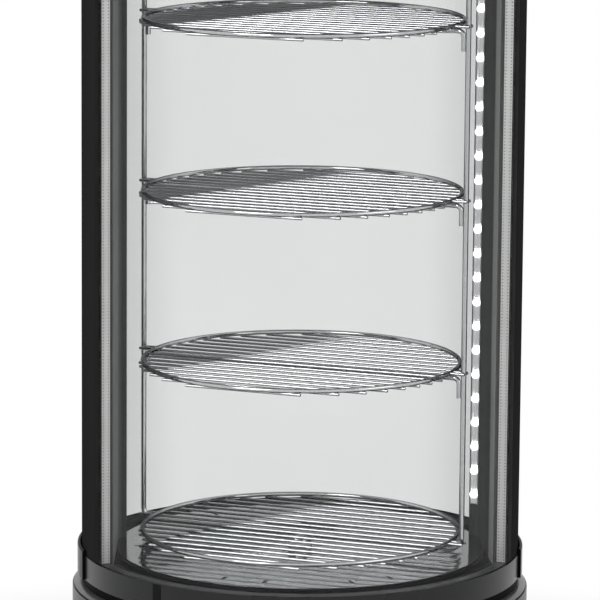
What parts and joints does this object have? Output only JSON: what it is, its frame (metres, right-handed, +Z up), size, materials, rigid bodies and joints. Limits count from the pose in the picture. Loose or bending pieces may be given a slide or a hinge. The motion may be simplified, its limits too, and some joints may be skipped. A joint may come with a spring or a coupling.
{
  "type": "cake display case",
  "caption": "Round refrigerated counter case with curved glass, black posts, a rear glass door and a turning rack of round wire shelves over a cylindrical machine base.",
  "frame": {"origin": "centre of the footprint, on the table", "axes": "+Z up; the glass front faces -Y; +X is the right-hand side seen from the front"},
  "size_m": [0.462, 0.462, 1],
  "materials": {
    "black_rubber": "matt moulded rubber",
    "zinc_sheet": "dull zinc-coated sheet",
    "dark_enamel": "satin dark grey enamel",
    "black_enamel": "satin black enamel",
    "black_plastic": "fine-grained black",
    "shoulder_paint": "satin grey enamel",
    "foam_liner": "off-white moulded liner with foam behind it",
    "polished_steel": "polished, almost a mirror",
    "white_plastic": "satin white",
    "motor_case": "satin light grey",
    "coil_aluminium": "bare fins, a little dull",
    "fan_plastic": "matt black",
    "copper": "bare copper tube, slightly tarnished",
    "graphite_paint": "satin graphite, softly reflecting",
    "clear_glass": "clear, with a faint green edge",
    "spacer_aluminium": "satin, anodised",
    "gloss_black": "glossy black profile",
    "led_white": "white light points",
    "pin_steel": "turned steel",
    "satin_handle": "satin anodised",
    "chromed_wire": "bright chromed wire",
    "red_plastic": "red rocker",
    "green_plastic": "green rocker",
    "grey_plastic": "light grey keys",
    "tray_plastic": "pale grey"
  },
  "bodies": {
    "cabinet": {"feet": "black_rubber", "base_pan": "zinc_sheet", "base_casing": "dark_enamel", "rear_grille": "black_plastic", "control_panel": "black_plastic", "power_inlet": "black_plastic", "shoulder_ring": "shoulder_paint", "base_rim": "black_plastic", "base_deck": "black_plastic", "cold_tub": "foam_liner", "floor_plate": "polished_steel", "rack_bushes": "white_plastic", "rack_motor": "motor_case", "evaporator": "coil_aluminium", "evaporator_fan_housing": "white_plastic", "compressor": "black_enamel", "compressor_mounts": "black_rubber", "condenser": "coil_aluminium", "condenser_fan_frame": "fan_plastic", "refrigerant_pipes": "copper", "control_box": "motor_case", "apron_left": "graphite_paint", "apron_front": "graphite_paint", "corner_covers": "black_plastic", "outer_pane": "clear_glass", "inner_pane": "clear_glass", "pane_spacer": "spacer_aluminium", "left_post": "gloss_black", "right_post": "gloss_black", "led_profile": "spacer_aluminium", "led_chips": "led_white", "top_deck": "black_plastic", "ceiling_plate": "polished_steel", "top_insulation": "foam_liner", "top_apron": "graphite_paint", "top_ring": "black_plastic", "top_cap": "dark_enamel", "cap_screws": "pin_steel", "hinge_pins": "pin_steel"},
    "door": {"door_outer_pane": "clear_glass", "door_inner_pane": "clear_glass", "door_channels": "gloss_black", "door_hinge_stile": "gloss_black", "door_free_stile": "gloss_black", "door_handle": "satin_handle", "door_gasket": "black_rubber"},
    "rack": {"rack_frame": "chromed_wire", "shelf_1": "chromed_wire", "shelf_2": "chromed_wire", "shelf_3": "chromed_wire", "shelf_4": "chromed_wire", "drive_shaft": "pin_steel"},
    "condenser_fan": {"condenser_fan_blades": "fan_plastic"},
    "evaporator_fan": {"evaporator_fan_wheel": "white_plastic"},
    "power_rocker": {"power_switch": "red_plastic"},
    "light_rocker": {"light_switch": "green_plastic"},
    "set_key": {"button_set": "grey_plastic"},
    "up_key": {"button_up": "grey_plastic"},
    "down_key": {"button_down": "grey_plastic"},
    "tray": {"drip_tray": "tray_plastic"}
  },
  "joints": [
    {"name": "door_swing", "type": "hinge", "parent": "cabinet", "child": "door", "pos_m": [-0.20196, 0.06448, 0.228], "axis": [0, 0, 1], "range_deg": [0, 90]},
    {"name": "rack_spin", "type": "hinge", "parent": "cabinet", "child": "rack", "pos_m": [0, 0, 0.232], "axis": [0, 0, 1], "continuous": true},
    {"name": "condenser_fan_spin", "type": "hinge", "parent": "cabinet", "child": "condenser_fan", "pos_m": [0, 0.1255, 0.099], "axis": [0, 1, 0], "continuous": true},
    {"name": "evaporator_fan_spin", "type": "hinge", "parent": "cabinet", "child": "evaporator_fan", "pos_m": [0, -0.08, 0.19], "axis": [0, 0, 1], "continuous": true},
    {"name": "power_rock", "type": "hinge", "parent": "cabinet", "child": "power_rocker", "pos_m": [0.19214, 0.118, 0.122], "axis": [-0.6561, 0.7547, 0], "range_deg": [-16, 0]},
    {"name": "light_rock", "type": "hinge", "parent": "cabinet", "child": "light_rocker", "pos_m": [0.17967, 0.13234, 0.122], "axis": [-0.6561, 0.7547, 0], "range_deg": [-16, 0]},
    {"name": "set_press", "type": "slide", "parent": "cabinet", "child": "set_key", "axis": [-0.7547, -0.6561, 0], "range_m": [0, 0.0008], "stiffness_N_per_m": 250, "springref_m": -0.0004},
    {"name": "up_press", "type": "slide", "parent": "cabinet", "child": "up_key", "axis": [-0.7547, -0.6561, 0], "range_m": [0, 0.0008], "stiffness_N_per_m": 250, "springref_m": -0.0004},
    {"name": "down_press", "type": "slide", "parent": "cabinet", "child": "down_key", "axis": [-0.7547, -0.6561, 0], "range_m": [0, 0.0008], "stiffness_N_per_m": 250, "springref_m": -0.0004},
    {"name": "tray_slide", "type": "slide", "parent": "cabinet", "child": "tray", "axis": [0, 1, 0], "range_m": [0, 0.13]}
  ]
}
